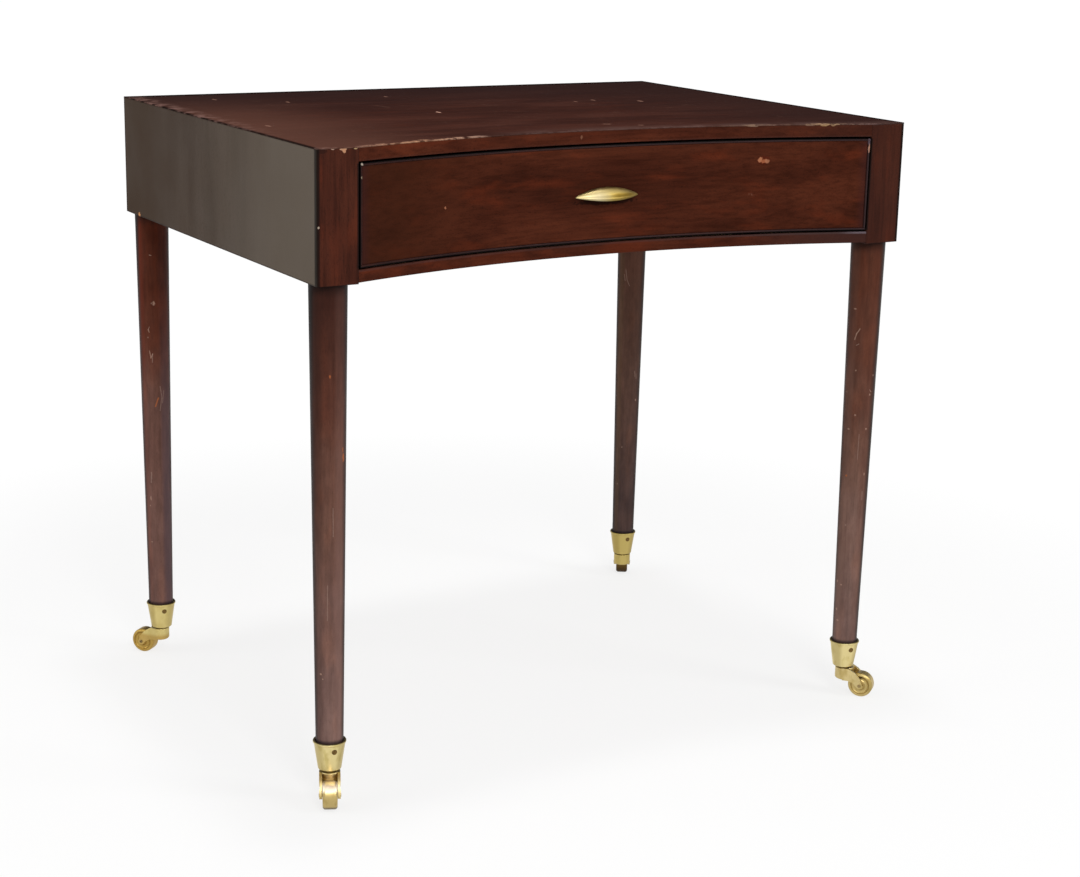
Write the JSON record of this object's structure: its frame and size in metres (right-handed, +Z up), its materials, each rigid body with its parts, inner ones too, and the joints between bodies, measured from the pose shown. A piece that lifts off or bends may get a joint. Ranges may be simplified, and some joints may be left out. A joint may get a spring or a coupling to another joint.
{
  "type": "writing table",
  "caption": "Shallow mahogany writing table with a hollow curved front, a beaded frieze drawer with a leaf-shaped brass pull, and round tapered legs on brass swivel casters.",
  "frame": {"origin": "on the floor, under the middle of the table", "axes": "+X to the sitter's right, along the width; +Y from the hollow drawer front to the back; +Z up"},
  "size_m": [0.7862, 0.6089, 0.734],
  "materials": {
    "top_mahogany": "satin french polish, reddish brown, worn along the front edge",
    "side_mahogany": "satin french polish, faded brown",
    "rail_mahogany": "french polish, deep red-brown with grain along the rail",
    "drawer_mahogany": "french polish, deep red-brown with cloudy figure",
    "bead_mahogany": "french polish",
    "back_mahogany": "thin polish, rubbed",
    "leg_mahogany": "french polish, dark, with upright grain",
    "carcase_pine": "bare planed pine, aged",
    "drawer_oak": "bare planed oak, aged",
    "iron_screw": "dark iron",
    "pull_brass": "polished, gently aged",
    "caster_brass": "polished, gently aged",
    "wheel_brass": "polished, rubbed by rolling",
    "pin_steel": "bright iron, worn"
  },
  "bodies": {
    "case": {"back_panel": "back_mahogany", "caster_cup_back_left": "caster_brass", "caster_cup_back_right": "caster_brass", "caster_cup_front_left": "caster_brass", "caster_cup_front_right": "caster_brass", "caster_pin_back_left": "pin_steel", "caster_pin_back_right": "pin_steel", "caster_pin_front_left": "pin_steel", "caster_pin_front_right": "pin_steel", "cup_screws": "caster_brass", "drawer_guide_left": "carcase_pine", "drawer_guide_right": "carcase_pine", "drawer_kicker_left": "carcase_pine", "drawer_kicker_right": "carcase_pine", "drawer_runner_left": "carcase_pine", "drawer_runner_right": "carcase_pine", "drawer_stops": "carcase_pine", "front_rail_bottom": "rail_mahogany", "front_rail_top": "rail_mahogany", "glue_blocks": "carcase_pine", "leg_back_left": "leg_mahogany", "leg_back_right": "leg_mahogany", "leg_front_left": "leg_mahogany", "leg_front_right": "leg_mahogany", "runner_screws": "iron_screw", "side_panel_left": "carcase_pine", "side_panel_right": "carcase_pine", "side_veneer_left": "side_mahogany", "side_veneer_right": "side_mahogany", "top_board": "carcase_pine", "top_veneer": "top_mahogany"},
    "drawer": {"bottom_screws": "iron_screw", "cock_bead_bottom": "bead_mahogany", "cock_bead_left": "bead_mahogany", "cock_bead_right": "bead_mahogany", "cock_bead_top": "bead_mahogany", "drawer_back": "drawer_oak", "drawer_bottom": "drawer_oak", "drawer_front": "drawer_mahogany", "drawer_pull": "pull_brass", "drawer_side_left": "drawer_oak", "drawer_side_right": "drawer_oak", "pull_bolts": "pull_brass"},
    "fork_front_left": {"caster_fork_front_left": "caster_brass", "caster_axle_front_left": "pin_steel"},
    "wheel_front_left": {"caster_wheel_front_left": "wheel_brass"},
    "fork_front_right": {"caster_fork_front_right": "caster_brass", "caster_axle_front_right": "pin_steel"},
    "wheel_front_right": {"caster_wheel_front_right": "wheel_brass"},
    "fork_back_left": {"caster_fork_back_left": "caster_brass", "caster_axle_back_left": "pin_steel"},
    "wheel_back_left": {"caster_wheel_back_left": "wheel_brass"},
    "fork_back_right": {"caster_fork_back_right": "caster_brass", "caster_axle_back_right": "pin_steel"},
    "wheel_back_right": {"caster_wheel_back_right": "wheel_brass"}
  },
  "joints": [
    {"name": "drawer_slide", "type": "slide", "parent": "case", "child": "drawer", "axis": [0, -1, 0], "range_m": [0, 0.38]},
    {"name": "swivel_front_left", "type": "hinge", "parent": "case", "child": "fork_front_left", "pos_m": [-0.3621, -0.2659, 0.038], "axis": [0, 0, 1], "continuous": true},
    {"name": "roll_front_left", "type": "hinge", "parent": "fork_front_left", "child": "wheel_front_left", "pos_m": [-0.37227, -0.28874, 0.01575], "axis": [0.9135, -0.4067, 0], "continuous": true},
    {"name": "swivel_front_right", "type": "hinge", "parent": "case", "child": "fork_front_right", "pos_m": [0.3621, -0.2659, 0.038], "axis": [0, 0, 1], "continuous": true},
    {"name": "roll_front_right", "type": "hinge", "parent": "fork_front_right", "child": "wheel_front_right", "pos_m": [0.37783, -0.28533, 0.01575], "axis": [0.7771, 0.6293, 0], "continuous": true},
    {"name": "swivel_back_left", "type": "hinge", "parent": "case", "child": "fork_back_left", "pos_m": [-0.3621, 0.2659, 0.038], "axis": [0, 0, 1], "continuous": true},
    {"name": "roll_back_left", "type": "hinge", "parent": "fork_back_left", "child": "wheel_back_left", "pos_m": [-0.37817, 0.28505, 0.01575], "axis": [-0.766, -0.6428, 0], "continuous": true},
    {"name": "swivel_back_right", "type": "hinge", "parent": "case", "child": "fork_back_right", "pos_m": [0.3621, 0.2659, 0.038], "axis": [0, 0, 1], "continuous": true},
    {"name": "roll_back_right", "type": "hinge", "parent": "fork_back_right", "child": "wheel_back_right", "pos_m": [0.37572, 0.28687, 0.01575], "axis": [-0.8387, 0.5446, 0], "continuous": true}
  ]
}
